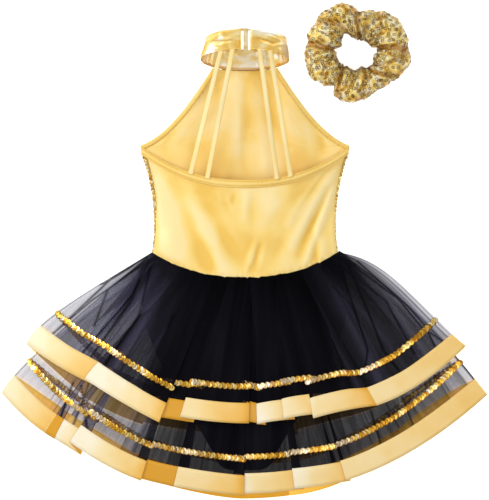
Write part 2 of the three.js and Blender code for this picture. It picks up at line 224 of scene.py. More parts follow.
def smooth(value, low=0.0, high=1.0):
    share = clamp((value - low) / (high - low))
    return share * share * (3 - 2 * share)


def bell(away, width):
    """1 in the middle, falling off evenly to both sides."""
    return exp(-((away / width) ** 2))


def ripple(*place):
    """A soft random height between -1 and 1 that changes slowly from place to place."""
    return noise.noise(Vector(place))


def bezier_weights(t):
    return (1 - t) ** 3, 3 * t * (1 - t) ** 2, 3 * t * t * (1 - t), t**3


def waist_y(u):
    return WAIST_RISE * abs(u) ** 2.4


def side_x(y):
    """Half the bodice's width at a height up the side seam."""
    k = (y - WAIST_RISE) / (CHEST_Y - WAIST_RISE)
    return WAIST_HALF * (1 - k) ** 2 + 2 * (WAIST_HALF - SIDE_TUCK) * k * (1 - k) + CHEST_HALF * k * k


def collar_point(x, up, back):
    """A point in the ring's own frame: x across, up the neck, and back towards the nape."""
    along, down = cos(COLLAR_TILT), sin(COLLAR_TILT)
    return Vector((x, COLLAR_Y + up * along + back * down, COLLAR_Z - up * down + back * along))


def collar_bow(x):
    return COLLAR_DEPTH * sqrt(max(0, 1 - (x / COLLAR_HALF) ** 2))


def rim(x, to_back):
    """The collar's lower edge, at the back of the neck where to_back is 1 and in front where it is -1."""
    return collar_point(x, -COLLAR_BAND / 2, to_back * collar_bow(x)) - Vector((0, 0.8, 0))


def armhole_point(t, inset):
    """A point of the right armhole, t from the underarm to the collar, moved inwards by inset."""
    top = rim(HALTER_HALF, -1).y
    corners = [
        Vector((CHEST_HALF, CHEST_Y)),
        Vector((lerp(HALTER_HALF, CHEST_HALF, 0.64), lerp(CHEST_Y, top, 0.12))),
        Vector((lerp(HALTER_HALF, CHEST_HALF, 0.33), lerp(CHEST_Y, top, 0.52))),
        Vector((HALTER_HALF, top)),
    ]
    ways = [corners[i + 1] - corners[i] for i in range(3)]
    way = ways[0] * (1 - t) ** 2 + ways[1] * 2 * t * (1 - t) + ways[2] * t * t
    place = sum((c * w for c, w in zip(corners, bezier_weights(t))), Vector((0, 0)))
    return place + Vector((-way.y, way.x)).normalized() * inset


def front_height(x, rise):
    """The front lies flat below the underarms and climbs from there to the collar."""
    edge = min(HALTER_HALF, max(-HALTER_HALF, x))
    return (rim(edge, -1).z - 1) * rise**2


UNDERARM = 5 / 12  # share of the front's rows that lie below the underarm points


def front_point(u, v, z):
    """A point of the front: u from -1 to 1 across, v from the waist to the collar."""
    corner = armhole_point(0, ARM_BINDING)
    if v < UNDERARM:
        y = lerp(waist_y(u) - FRONT_DROP * (1 - u * u), corner.y, v / UNDERARM)
        return Vector((u * side_x(lerp(WAIST_RISE, corner.y, v / UNDERARM)), y, z))
    rise = (v - UNDERARM) / (1 - UNDERARM)
    edge = armhole_point(rise, ARM_BINDING * smooth(rise, 0, 0.1))
    across = lerp(lerp(corner.y, 258, rise), edge.y, u * u)
    y = lerp(across, rim(u * edge.x, -1).y, rise**4 * (1 - u**6))
    return Vector((u * edge.x, y, front_height(u * edge.x, rise) + z))


def rolled_front(u, v):
    """The front's outer cloth, rolled up at its side edges."""
    point = front_point(u, v, 0.9)
    if v >= UNDERARM:
        return point
    hand = copysign(1, u)
    radius = ROLL[hand] * (0.55 + 0.45 * v / UNDERARM)
    inside = side_x(lerp(WAIST_RISE, CHEST_Y, v / UNDERARM)) - abs(point.x)
    length = 5.2 * radius
    if inside < length:
        turn = pi * 1.12 * (1 - inside / length) * smooth(UNDERARM - v, 0, 0.03)
        centre = abs(point.x) + inside - radius
        out = lerp(abs(point.x), centre + radius * sin(turn), smooth(turn, 0, 0.6))
        point.x = hand * out
        point.z += radius * (1 - cos(turn))
    return point


def built(name, points, faces, material, marks=None, smooth=True):
    """An object in the scene with this mesh. marks gives named shades, each with a value for every point."""
    mesh = bpy.data.meshes.new(name)
    mesh.from_pydata([Vector(point) * MM for point in points], [], faces)
    for mark, shades in (marks or {}).items():
        mesh.attributes.new(mark, "FLOAT", "POINT").data.foreach_set("value", shades)
    mesh.polygons.foreach_set("use_smooth", [smooth] * len(faces))
    mesh.materials.append(material)
    return in_scene(name, mesh)


def cloth(name, columns, rows, place, material, cut, thick=0.0, marks=None):
    """A piece of cloth on a grid: place(u, v) gives its points for u and v from 0 to 1.

    columns is a number, or a list of places for u. cut is the cloth's flat size, which its weave follows.
    marks gives named shades as functions of (u, v), which the material reads.
    """
    us = columns if isinstance(columns, list) else [i / columns for i in range(columns + 1)]
    vs = [i / rows for i in range(rows + 1)]
    spots = [(u, v) for v in vs for u in us]
    wide = len(us)
    faces = [
        (i, i + 1, i + wide + 1, i + wide)
        for row in range(rows)
        for i in range(row * wide, row * wide + wide - 1)
    ]
    shades = {mark: [shade(u, v) for u, v in spots] for mark, shade in (marks or {}).items()}
    piece = built(name, [place(u, v) for u, v in spots], faces, material, shades)
    layer = piece.data.uv_layers.new(name="cut")
    for loop, corner in zip(piece.data.loops, layer.data):
        u, v = spots[loop.vertex_index]
        corner.uv = (u * cut[0] * MM, v * cut[1] * MM)
    if thick:
        layers = piece.modifiers.new("layers", "SOLIDIFY")
        layers.thickness = thick * MM
        layers.offset = 0
    return piece


def sewn(piece, slot, *nodes, body="dress"):
    """Puts a piece on its body and hides the solids that it stands for. slot names its finish slot and is not
    used.
    """
    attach(piece, body)
    if nodes:
        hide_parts(*nodes)
    return piece


def band(low, high, sides):
    """The faces between two rings of points, whose first points have these numbers."""
    return [(low + k, low + (k + 1) % sides, high + (k + 1) % sides, high + k) for k in range(sides)]


SEQUIN_SIDES = 10
FRONT_SEQUIN = (1.75, 0.45, -0.2)  # its radius, its dish's radius, and the rim's height over the dish
FRONT_SPACING = 3.7


def sequins(name, spots, size, material):
    """Cup sequins of one size as one mesh. Each spot is (centre, facing, heading, glint)."""
    radius, hole, cup = size
    points, faces, shades, glints = [], [], [], []
    for centre, facing, heading, glint in spots:
        aside = facing.cross(heading).normalized()
        first = len(points)
        for reach, lift, shade in ((radius, cup, 0.0), (hole, 0.0, 1.0)):
            for k in range(SEQUIN_SIDES):
                turn = 2 * pi * k / SEQUIN_SIDES
                out = heading * cos(turn) + aside * sin(turn)
                points.append(centre + out * reach + facing * lift)
                shades.append(shade)
                glints.append(glint)
        faces += band(first, first + SEQUIN_SIDES, SEQUIN_SIDES)
    return built(name, points, faces, material, {"dish": shades, "glint": glints}, smooth=False)


def scattered(surface, across, along, spacing, seed, tilt=0.3, turned=1.0, loose=0.15, missing=0.0):
    """Spots in staggered rows on surface(u, v), each a little out of true, with a share of them missing."""
    chance = random.Random(seed)
    spots = []
    rows = int(along / spacing)
    for row in range(rows):
        v = (row + 0.5) / rows
        width = across(v) if callable(across) else across
        count = max(1, int(width / spacing))
        for column in range(count):
            if chance.random() < missing:
                continue
            u = (column + 0.5 * (row % 2) + 0.25 + chance.uniform(-loose, loose)) / count
            v = (row + 0.5 + (chance.uniform(-loose, loose) if missing else 0)) / rows
            step = 0.002
            here = surface(u, v)
            over, up = surface(u + step, v) - here, surface(u, v + step) - here
            facing = over.cross(up).normalized() * turned
            sway = Vector([chance.uniform(-tilt, tilt) for _ in range(3)])
            facing = (facing + sway).normalized()
            heading = (over - facing * over.dot(facing)).normalized()
            # The last value is a painted glint, on about one spot in seven.
            spots.append((here + facing * 0.35, facing, heading, max(0, chance.uniform(-6, 1))))
    return spots


def gold_sequin_finish(name, metal, *painted_rim_and_dish_stops):
    """Gold film: each sequin has its own tone at random, a painted shade at its rim, a painted highlight in
    its dish, and a painted glint where glint is high.
    """
    film = Finish(name, Metallic=metal, Roughness=0.26)
    own = node(film.tree, "NewGeometry").outputs["Random Per Island"]
    tone = film.ramp(own, (0, "AE7812"), (0.3, "DEA62A"), (0.6, "F3CA50"), (0.85, "FDE89C"), (1, "FFFBEA"))
    # glint paints a highlight by mixing the sequin's colour towards white; dish paints shade at the rim and a
    # highlight in the dish.
    lit = film.mix(film.mark("glint"), tone, colour("FFFDF4"))
    painted_rim_and_dish_light = film.ramp(film.mark("dish"), *painted_rim_and_dish_stops)
    film.feed(film.mix(1.0, lit, painted_rim_and_dish_light, "MULTIPLY"), "Base Color")
    return film.material


def gold_knit_finish():
    """The knit under the sequins, with a glitter of fine foil specks, and shade painted into the deep folds
    where tuck is high.
    """
    knit = Finish("gold_glitter_knit", Metallic=0.1, Roughness=0.4)
    uv = knit.uv()
    specks = node(knit.tree, "TexVoronoi", {"Vector": uv, "Scale": 700.0}).outputs
    drift = knit.noise(uv, 70.0, 6.0)
    tone = knit.ramp(drift, (0.34, "DCA634"), (0.43, "F4D466"), (0.51, "FCEDA2"), (0.61, "FFFFEA"))
    # Painted shade: tuck darkens the knit to orange-brown in the scrunchie's deep folds.
    tone = knit.mix(knit.mark("tuck"), tone, colour("C47A1C"))
    sparkle = knit.ramp(specks["Color"], (0.0, "D8BC80"), (0.6, "FAF4E6"), (1.0, "FFFFFF"))
    knit.feed(knit.mix(1.0, tone, sparkle, "MULTIPLY"), "Base Color")
    knit.bump(specks["Distance"], 0.5, 0.0003)
    return knit.material


# The rim stops paint shade at each sequin's rim and a white highlight in its dish.
SEQUIN_FILM = gold_sequin_finish(
    "gold_sequin_film", 0.7, (0, "8A6426"), (0.25, "E8DCC0"), (0.5, "FFFFFF"), (1, "E8D8B0")
)
GOLD_KNIT = gold_knit_finish()
FRONT_LENGTH = HALTER_TOP + FRONT_DROP
edge_steps = [0, 0.006, 0.012, 0.018, 0.025, 0.033, 0.042, 0.055, 0.07]
front_us = edge_steps + [i / 40 for i in range(4, 37)] + [1 - e for e in reversed(edge_steps)]
front = cloth(
    "front_bodice_cloth", front_us, 72, lambda u, v: rolled_front(2 * u - 1, v), GOLD_KNIT,
    (2 * CHEST_HALF, FRONT_LENGTH),
)
sewn(front, "gold_sequins", "front_bodice")
front_sequins = sequins(
    "front_bodice_sequins",
    scattered(
        lambda u, v: rolled_front(2 * u - 1, v),
        lambda v: 2 * abs(front_point(1, v, 0).x) + 12, FRONT_LENGTH, FRONT_SPACING,
        seed=3, tilt=0.16, turned=-1.0,
    ),
    FRONT_SEQUIN, SEQUIN_FILM,
)
sewn(front_sequins, "gold_sequins")


# ---- The front's lining
# Yellow stretch satin, cut like the front and sewn to it round its edges. Its inside shows above the
# scooped back, with soft folds that fall from the collar.


def satin_finish(name, pale, middle, deep, roughness=0.42, sheen=0.15, specular=0.35):
    """Stretch satin: a fine weave, a random drift of tone, and a painted sheen: the colour is painted paler
    along the top of a fold and deeper in its hollow.
    """
    satin = Finish(name, Roughness=roughness, Sheen_Weight=sheen, Specular_IOR_Level=specular)
    uv = satin.uv()
    drift = satin.noise(uv, 14.0, 3.0, Roughness=0.45)
    # fold paints a highlight on each ridge and shade in each hollow.
    shade = satin.math("MULTIPLY_ADD", satin.mark("fold"), 0.13, drift)
    satin.feed(satin.ramp(shade, (0.3, deep), (0.48, middle), (0.72, pale)), "Base Color")
    satin.bump(satin.noise(uv, 1400.0, 2.0), 0.12, 0.0002)
    return satin.material


def fold_lift(x, y, folds):
    """How far soft folds lift the cloth. Each fold is (from, to, width, height)."""
    lift = 0.0
    here = Vector((x, y))
    for start, end, width, height in folds:
        a, b = Vector(start), Vector(end)
        way = b - a
        share = (here - a).dot(way) / way.length_squared
        held = clamp(share)
        near = a + way * held
        past = abs(share - held) * way.length
        away = (here - near).length
        if away < 3.2 * width:
            taper = sin(pi * clamp(0.12 + 0.76 * share))
            lift += height * taper * bell(away, width) * exp(-past / width)
    return lift


LINING_FOLDS = [
    ((-8, 252), (-12, 150), 9, 1.6), ((3, 246), (-2, 132), 5, -1.3), ((12, 250), (26, 140), 8, 1.4),
    ((-22, 240), (-44, 150), 7, 1.2), ((-34, 226), (-70, 170), 8, 1.3), ((-58, 206), (-92, 165), 7, 1.2),
    ((28, 242), (38, 170), 6, -1.2), ((48, 220), (66, 160), 8, 1.4), ((74, 196), (84, 150), 7, 1.5),
    ((92, 186), (100, 152), 5, -1.4), ((-84, 192), (-104, 160), 5, -1.0),
]
SATIN = satin_finish("yellow_satin", "FEE6A4", "FCD97C", "F2C55A")


def lining_fold(u, v):
    x, y, _ = front_point(2 * u - 1, v, 0)
    lift = fold_lift(x, y, LINING_FOLDS) + ripple(x * 0.03, y * 0.012, 4.1) * 1.5
    return smooth(min(u, 1 - u), 0, 0.05) * smooth(y, 90, 150) * lift


def lining_point(u, v):
    point = front_point(2 * u - 1, v, 2.0)
    point.z += lining_fold(u, v) + smooth(min(u, 1 - u), 0, 0.05) * smooth(point.y, 90, 150)
    return point


# Its fold mark paints a highlight along the folds' ridges and shade in their hollows.
lining = cloth(
    "front_lining_cloth", 110, 120, lining_point, SATIN, (2 * CHEST_HALF, FRONT_LENGTH), 0,
    {"fold": lining_fold},
)
sewn(lining, "gold_satin", "front_lining")


# ---- The armhole bindings
# A strip of the same satin is folded over the cut edge of both layers, from each underarm up to the
# collar, and stitched down along its inner edge. The stitching puckers it a little.


def binding_point(hand, t, across):
    """across runs from 0 at the armhole's edge to 1 at the stitching."""
    flat = armhole_point(t, ARM_BINDING * across)
    pucker = 0.22 * sin(t * 150 + 2 * sin(t * 23)) * (0.4 + across)
    crown = 1.7 * sin(pi * (0.08 + 0.84 * across)) ** 0.6
    return Vector((hand * flat.x, flat.y, front_height(flat.x, t) + 1.4 + crown + pucker))


THREAD_SIDES = 6
STITCHED_AT = 0.8  # share of a binding's width


def thread(name, stitches, radius, material):
    """Stitches as one mesh, each a short spindle between two points."""
    points, faces = [], []
    for start, end in stitches:
        way = (end - start).normalized()
        aside = way.cross(Vector((0, 0, 1))).normalized()
        above = aside.cross(way)
        first = len(points)
        for share, size in ((0, 0.3), (0.25, 1), (0.75, 1), (1, 0.3)):
            for k in range(THREAD_SIDES):
                turn = 2 * pi * k / THREAD_SIDES
                out = aside * cos(turn) + above * sin(turn)
                points.append(start.lerp(end, share) + out * radius * size)
        for ring in range(3):
            low = first + THREAD_SIDES * ring
            faces += band(low, low + THREAD_SIDES, THREAD_SIDES)
        faces.append(tuple(first + k for k in reversed(range(THREAD_SIDES))))
        faces.append(tuple(first + 3 * THREAD_SIDES + k for k in range(THREAD_SIDES)))
    return built(name, points, faces, material)


def stitch_line(path, count):
    """Stitches along path(t), with a short gap after each."""
    return [(path((i + 0.1) / count), path((i + 0.8) / count)) for i in range(count)]


THREAD = satin_finish("thread", "E9BE58", "DDAF48", "CFA03C", 0.6)
BINDING = satin_finish("binding_satin", "FCDC86", "F6D070", "EFC560")
bindings = []
for side, hand in (("left", -1), ("right", 1)):
    binding = cloth(
        f"armhole_binding_{side}_satin", 200, 8,
        lambda u, v: binding_point(hand, u, v if hand > 0 else 1 - v),
        BINDING, (165, ARM_BINDING), 0.5,
        # Painted shade along the line of stitching.
        {"fold": lambda u, v: -1.6 * bell((v if hand > 0 else 1 - v) - STITCHED_AT, 0.15)},
    )
    sewn(binding, "gold_satin", f"armhole_binding_{side}")
    stitching = thread(
        f"armhole_stitching_{side}",
        stitch_line(lambda t: binding_point(hand, t, STITCHED_AT) + Vector((0, 0, 0.25)), 58),
        0.22, THREAD,
    )
    sewn(stitching, "gold_satin")
    bindings += [binding, stitching]


# ---- The back
# One panel of yellow stretch satin, from the waist seam to the binding of its scooped neckline. It is
# sewn to the front at the side seams, and soft folds run from the underarms towards the waist.

SCOOP_DEPTH = 43
NECK_BINDING = 9.5
BODICE_PUFF = 20
BODICE_SETTLE = 70
SKIRT_POLE, SKIRT_SPREAD = 116, radians(56)
SKIRT_PUFF, PUFF_LEAST, PUFF_START, PUFF_LENGTH = 28, 4, 60, 380
SIDE_SHOWS = {-1: 3.8, 1: 2.1}  # how far each side seam lies inside the rolled edge


def neck_y(x):
    return CHEST_Y - SCOOP_DEPTH * (1 - abs(x / CHEST_HALF) ** 2.3)


def skirt_puff(x, y):
    """How far the skirt's back stands off its front."""
    radius = hypot(x, SKIRT_POLE - y)
    angle = atan2(abs(x), SKIRT_POLE - y) / SKIRT_SPREAD
    swell = sin(pi * clamp((radius - PUFF_START) / PUFF_LENGTH))
    return (PUFF_LEAST + SKIRT_PUFF * swell) * max(0, 1 - angle**2)


def back_height(u, x, y):
    over_front = 3.2 + BODICE_PUFF * (1 - u * u)
    at_waist = 10.3 + skirt_puff(x, waist_y(u))
    return lerp(at_waist, over_front, smooth(y - waist_y(u), 0, BODICE_SETTLE))


BACK_FOLDS = [
    ((-112, 118), (-76, 10), 16, 2.2), ((-92, 122), (-40, 8), 10, -1.6), ((-70, 100), (-22, 4), 10, 1.5),
    ((-60, 108), (-2, 8), 8, -1.3), ((-98, 56), (-92, 20), 12, 1.4), ((-38, 110), (-14, 84), 5, 0.9),
    ((-30, 104), (-20, 84), 4, -0.9), ((1, 108), (-1, 70), 5, 0.9), ((12, 106), (10, 64), 5, -0.6),
    ((-13, 106), (-16, 90), 3.5, -0.8), ((14, 46), (3, 8), 5, 1.5), ((26, 44), (17, 10), 4, 0.9),
    ((20, 42), (11, 8), 4, -1.1), ((116, 138), (57, 38), 7, 2.1), ((112, 112), (74, 14), 5, 2.2),
    ((104, 112), (66, 26), 5, -1.7), ((101, 132), (54, 66), 6, 1.5), ((108, 140), (62, 76), 4, -1.2),
    ((40, 100), (20, 60), 9, 0.8), ((86, 60), (90, 10), 5, -0.9), ((98, 50), (96, 14), 6, 1.2),
    ((8, 16), (6, 0), 3, -0.9), ((-40, 30), (-26, 6), 6, 0.9), ((52, 60), (34, 16), 8, -0.9),
]


def back_flat(u, v):
    """u from -1 to 1 between the side seams, v from the waist to the neckline binding."""
    inset = SIDE_SHOWS[copysign(1, u)] * lerp(0.35, 1, v)
    seam = side_x(lerp(WAIST_RISE, CHEST_Y - NECK_BINDING, v)) - inset
    x = u * seam
    return x, lerp(waist_y(u) - 1.2, neck_y(x) - NECK_BINDING + 1.2, v)


def back_fold(u, v):
    x, y = back_flat(u, v)
    inside = smooth(1 - abs(u), 0, 0.07) * smooth(1 - v, 0, 0.05) * smooth(v, -0.02, 0.08)
    return inside * (1.35 * fold_lift(x, y, BACK_FOLDS) + 1.6 * ripple(x * 0.022, y * 0.022, 1.7))


def back_point(u, v):
    x, y = back_flat(u, v)
    puckers = 0.35 * sin(u * 92 + 2 * sin(u * 17)) * smooth(0.12 - v, 0, 0.12)
    edge = 1.2 * smooth(1 - abs(u), 0, 0.02) - 1.2
    return Vector((x, y, back_height(u, x, y) + edge + puckers + back_fold(u, v)))


# Its fold mark paints a highlight along the folds' ridges and shade in their hollows.
back = cloth(
    "back_bodice_satin", 170, 110, lambda u, v: back_point(2 * u - 1, v), SATIN,
    (2 * CHEST_HALF, CHEST_Y - SCOOP_DEPTH), 0.7, {"fold": lambda u, v: back_fold(2 * u - 1, v)},
)
sewn(back, "gold_satin", "back_bodice")


# ---- The back neckline binding
# A folded strip of satin closes the scooped edge. A twin needle sews it down with two rows of thread,
# so that it stands up a little between them.


def neck_binding_point(u, v):
    """v runs from the binding's lower edge to the neckline."""
    hand = copysign(1, u)
    x = u * (CHEST_HALF - 1.2 * smooth(abs(u), 0.95, 1)) - hand * 0.4
    y = neck_y(x) - NECK_BINDING * (1 - v)
    crown = 0.9 * sin(pi * clamp((v - 0.2) / 0.6)) if 0.2 < v < 0.8 else 0.0
    edges = 0.5 * sin(pi * v) ** 0.4
    pucker = 0.15 * sin(u * 210 + 3 * sin(u * 19))
    return Vector((x, y, back_height(u, x, y) + 1.2 + crown + edges + pucker))


# Its fold mark paints a highlight along the crown between the rows of stitching and shade at the rows.
neck_binding = cloth(
    "back_neckline_binding_satin", 260, 16, lambda u, v: neck_binding_point(2 * u - 1, v), BINDING,
    (275, NECK_BINDING), 0.6, {"fold": lambda u, v: 1.5 * cos(2 * pi * (v - 0.5) / 0.6)},
)
sewn(neck_binding, "gold_satin", "back_neckline_binding")
neck_rows = []
for share in (0.2, 0.8):
    neck_rows += stitch_line(
        lambda t: neck_binding_point(lerp(-0.985, 0.985, t), share) + Vector((0, 0, 0.4)), 96
    )
neck_stitching = thread("back_neckline_stitching", neck_rows, 0.24, THREAD)
sewn(neck_stitching, "gold_satin")


# ---- The skirt's lining
# Two panels of opaque black satin hang inside the tulle from the waist seam. They are narrower than
# the tiers, and their hem is rounded.

LINING_LENGTH = 241
LINING_SIDE = (33, 76, 164, 113)  # half widths that its side curves by, from the hem to the waist


def lining_half(v):
    return sum(w * x for w, x in zip(bezier_weights(v), LINING_SIDE))


def skirt_lining_point(is_back, u, v):
    x = u * lining_half(v)
    top = waist_y(u) - (0 if is_back else FRONT_DROP * (1 - u * u))
    y = lerp(-LINING_LENGTH + 9 * abs(u) ** 5, top, v)
    sway = ripple(u * 7, v * 1.5, 8.3 + is_back) * 1.6 * (1 - v)
    height = 7.2 + skirt_puff(x, y) if is_back else 4.2
    return Vector((x, y, height + sway * (1 if is_back else 0.35)))


BLACK_LINING = satin_finish("black_lining", "0A0910", "050409", "030206", 0.6, 0.0, 0.12)
for face, is_back in (("front", 0), ("back", 1)):
    panel = cloth(
        f"skirt_lining_{face}_satin", 90, 60,
        lambda u, v: skirt_lining_point(is_back, 2 * u - 1, v),
        BLACK_LINING, (240, LINING_LENGTH), 0.5,
    )
    sewn(panel, "black_lining", f"skirt_lining_{face}")


# ---- The tulle tiers, their ribbons and sequin trims
# Each tier is a tube of black tulle gathered into the waist seam, and it lies here in flat folds. A
# 25 mm satin ribbon hems it, and a braid of overlapping sequins is stitched on above the ribbon.

RIBBON_WIDTH = 25.5
TRIM_HEIGHT = 46
TRIM_PITCH = 2.7
TRIM_SEQUIN = (3.7, 0.4, -0.3)
TIER_LENGTH = {"upper": 275, "lower": 315}  # of the cloth, from the waist to the hem
NET_COLUMNS, RIBBON_COLUMNS = 600, 260
NET_ROWS = {"front": 40, "back": 90}
CREASE_WIDTH = 1.5
FOLD_RISE = 1.7  # height of one layer of a fold at the hem
HEM_CURVE = 10  # points in one stretch of a hem

# Each hem from the left to the right, as the stretches between its folds: (x, y, layer, sag). The
# layer counts up from the skirt below it, and sag is how far the stretch bows down.
HEMS = {
    "upper_back": [
        (-273, -84, 0, 0), (-180, -138, 0.2, 4), (-200, -127, 1.4, 0), (-107, -181, 2.2, 2),
        (-122, -172, 1.0, 0), (-64, -181, 0.1, 0), (-81, -174, 1.3, 0), (5, -182, 2.0, 2),
        (-4, -178, 1.0, 0), (26, -184, 0.1, 0), (15, -183, 1.2, 0), (62, -177, 0.8, -1),
        (48, -177, 2.0, 0), (100, -170, 1.0, -1.5), (85, -176, 2.4, 0), (165, -160, 1.2, -2),
        (276, -86, 0, 9),
    ],
    "lower_back": [
        (-304, -145, 0, 0), (-238, -202, 1.2, 5), (-250, -194, 0.7, 0), (-205, -222, 0.3, 0),
        (-219, -206, 1.4, 0), (-130, -254, 2.0, 4), (-142, -248, 1.0, 0), (-74, -264, 0.1, 1),
        (-89, -261, 1.3, 0), (-1, -273, 1.6, 1), (-16, -270, 0.6, 0), (74, -264, 0.6, 2),
        (62, -264, 1.9, 0), (132, -254, 0.6, 1), (126, -254, 2.2, 0),
        (303, -147, 0, 13),
    ],
    "upper_front": [
        (-272, -85, 0, 0), (-196, -153, 0.4, 1), (-204, -148, 0.8, 0), (-128, -184, 0.6, 3),
        (-136, -179, 1.2, 0), (-30, -196, 0.6, 2), (50, -198, 0, 1), (66, -197, 0.4, 0),
        (60, -192, 0.9, 0), (120, -176, 0.4, 0), (275, -88, 0, 14),
    ],
    "lower_front": [
        (-303, -146, 0, 0), (-226, -199, 0.4, 0), (-232, -195, 0.8, 0), (-150, -243, 0.4, 0),
        (-60, -269, 0, 2), (-6, -277, 0, 1), (56, -273, 0, 1), (122, -256, 0.4, 3),
        (114, -258, 0.8, 0), (205, -212, 0.4, 3), (302, -148, 0, -3),
    ],
}
# How each side outline of a tier bows out: (by how much, and how near the waist that is)
OUTLINES = {
    ("upper", -1): (12.5, 0.5), ("upper", 1): (19, 1.5), ("lower", -1): (10, 0.5), ("lower", 1): (18, 1),
}
# Where more layers of net begin to lie on each other, from the left to the right: (u, layers more)
FULLNESS = {
    "upper": (
        (-0.93, 0.6), (-0.82, 0.5), (-0.66, 1.1), (-0.5, 2.1), (0.62, -2.1), (0.86, -0.8), (0.965, -0.7),
        (0.984, -0.7),
    ),
    "lower": (
        (-0.84, 0.3), (-0.66, 0.6), (-0.45, 1.4), (-0.3, 1.7), (0.55, -1.0), (0.76, -0.9), (0.9, -1.2),
        (0.97, -0.9),
    ),
}
# Lines where the net of the back is creased sharply, each from near the waist to near the hem
NET_CREASES = {
    "upper": [
        [(-122, 26), (-166, -1), (-245, -76)], [(-122, 22), (-171, -15), (-188, -61)],
        [(-120, 20), (-139, -21), (-205, -97)], [(-126, 18), (-142, -29), (-196, -105)],
        [(-130, 14), (-191, -29), (-246, -76)], [(-118, 12), (-132, -48), (-176, -112)],
        [(-140, 14), (-176, -8), (-214, -14)], [(122, 24), (191, -27), (221, -63), (253, -84)],
        [(129, 14), (153, -42), (173, -92), (191, -116)], [(120, 8), (153, -90), (150, -113)],
        [(140, 20), (206, -39), (224, -60), (240, -92)], [(118, 16), (176, -30), (212, -96)],
    ],
    "lower": [
        [(262, -98), (277, -116), (289, -131)], [(157, -166), (169, -207)], [(-214, -131), (-231, -177)],
        [(-194, -131), (-214, -184)], [(-204, -136), (-196, -200)], [(196, -150), (214, -196)],
    ],
}
TIERS = {  # height of the cloth over the skirt below it, at the waist and at the hem
    "upper_back": (10.0, 16.0), "lower_back": (8.4, 9.6),
    "upper_front": (1.0, 0.5), "lower_front": (2.6, 2.6),
}


def step_below(steps, value):
    """Which of the stretches between rising steps value lies in."""
    return min(len(steps) - 2, max(0, bisect.bisect_right(steps, value) - 1))


class Hem:
    """The folded line of a hem, as a function of the share of its cloth, from 0 to 1."""

    def __init__(self, folds):
        self.points = [Vector(folds[0][:3])]
        self.creases = []
        for x, y, layer, sag in folds[1:]:
            start = self.points[-1]
            for i in range(1, HEM_CURVE + 1):
                share = i / HEM_CURVE
                point = start.lerp(Vector((x, y, layer)), share)
                point.y -= 4 * sag * share * (1 - share)
                self.points.append(point)
            self.creases.append(len(self.points) - 1)
        reach = [0.0]
        for a, b in zip(self.points, self.points[1:]):
            reach.append(reach[-1] + (b - a).to_2d().length)
        self.length = reach[-1]
        self.shares = [r / self.length for r in reach]
        self.crease_shares = [0.0] + [self.shares[i] for i in self.creases]

    def at(self, share):
        i = step_below(self.shares, share)
        low, high = self.shares[i], self.shares[i + 1]
        return self.points[i].lerp(self.points[i + 1], (share - low) / max(1e-9, high - low))

    def columns(self, count, tight):
        """Places for columns, with more of them beside each crease."""
        near = [c + d * tight for c in self.crease_shares for d in (-3, -1.5, -0.7, 0, 0.7, 1.5, 3)]
        every = sorted([i / count for i in range(count + 1)] + [n for n in near if 0 <= n <= 1])
        return [every[0]] + [b for a, b in zip(every, every[1:]) if b - a > 1e-5]

    def stretch(self, share):
        """The stretch between two folds that share lies in: its number, its end shares and its ends."""
        i = step_below(self.crease_shares, share)
        low, high = self.crease_shares[i], self.crease_shares[i + 1]
        return i, low, high, self.at(low + 1e-6), self.at(high - 1e-6)


def gathers(t, share, seed):
    """Pleats that the waist seam draws into the tulle. They fade towards the hem."""
    fine = sin(2 * pi * (t * 64 + 1.3 * sin(t * 31 + seed)))
    broad = sin(2 * pi * (t * 21 + 0.8 * sin(t * 13 + seed * 2)))
    return 0.9 * fine * share**3 + 1.3 * broad * share**1.5 * (1 - 0.5 * share)


def waist_tuck(t, seed):
    """The waist seam catches the net in flat tucks: how far a tuck carries it aside, and lifts it."""
    turn = 2 * pi * (t * 10.5 + 0.3 * sin(t * 11 + seed))
    inside = smooth(min(t, 1 - t), 0, 0.05)
    swing = 13 + 8 * ripple(t * 6, seed * 0.7, 3)
    return inside * swing * sin(turn) / WAIST_HALF, inside * 2.0 * cos(turn)


def tier_point(tier, hem, t, up):
    """A point of a tier, up its cloth from the hem's edge."""
    is_back = tier.endswith("back")
    u = 2 * t - 1
    foot = hem.at(t)
    aside, lift = waist_tuck(t, len(tier))
    v = u + aside
    top = Vector((WAIST_HALF * v, waist_y(v) - (0 if is_back else FRONT_DROP * (1 - v * v))))
    share = min(1, up / (top - foot.to_2d()).length)
    flat = foot.to_2d().lerp(top, share)
    bow, lean = OUTLINES[tier[:5], copysign(1, u)]
    flat.y += bow * sin(pi * share**lean) * u**4
    flat.y += 1.6 * ripple(t * 70, len(tier), 0) * share**14
    at_waist, at_hem = TIERS[tier]
    edge = 1 - abs(u) ** 8
    height = lerp(lerp(2.0, at_hem, edge), at_waist, share**1.5)
    if is_back:
        height += skirt_puff(flat.x, flat.y)
    rise = FOLD_RISE if is_back else 0.6
    wave = (gathers(t, share, len(tier)) + lift * share**1.2) * (1 if is_back else 0.2)
    height += foot.z * rise * (1 - share) ** 1.2 + wave
    return Vector((flat.x, flat.y, max(0.3, height)))


